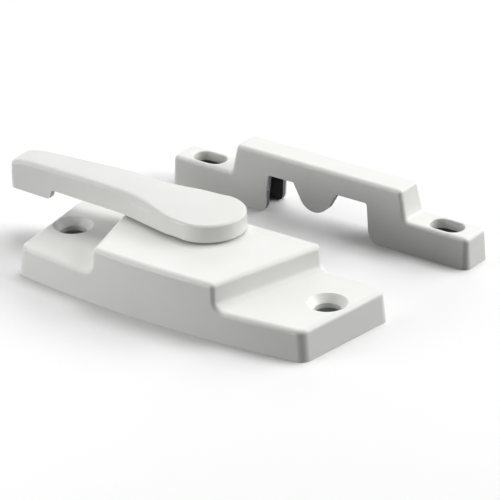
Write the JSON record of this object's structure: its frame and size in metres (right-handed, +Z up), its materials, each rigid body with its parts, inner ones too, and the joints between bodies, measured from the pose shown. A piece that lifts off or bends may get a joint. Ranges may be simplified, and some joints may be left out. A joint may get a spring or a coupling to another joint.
{
  "type": "window sash lock",
  "caption": "Cam-action window sash lock: white die-cast housing with a swinging lever that turns a hook cam, and a separate bridge keeper with a half-round tongue.",
  "frame": {"origin": "midway between the two screw holes of the lock housing, on the face that sits on the sash rail", "axes": "+X along the lock, from the end the unlocked lever points over towards the other end; +Y back towards the keeper; +Z up off the rail, out of the mounting face"},
  "size_m": [0.0801, 0.0556, 0.0159],
  "materials": {
    "white_casting": "smooth semi-gloss white paint",
    "nylon": "natural nylon",
    "spring_steel": "plain spring steel",
    "cam_steel": "bright zinc plate"
  },
  "bodies": {
    "lock": {"housing": "white_casting", "pivot_bush": "nylon", "detent_spring": "spring_steel"},
    "lever_and_cam": {"lever": "white_casting", "cam": "cam_steel", "spring_washer": "spring_steel", "retaining_washer": "cam_steel"},
    "keeper_part": {"keeper": "white_casting"}
  },
  "joints": [
    {"name": "lever_turn", "type": "hinge", "parent": "lock", "child": "lever_and_cam", "pos_m": [-0.001, 0.0046, 0], "axis": [0, 0, 1], "range_deg": [0, 180], "deforming": ["detent_spring"]},
    {"name": "keeper_approach", "type": "slide", "parent": "lock", "child": "keeper_part", "axis": [-0.1357, -0.9907, 0], "range_m": [0, 0.0221]}
  ]
}
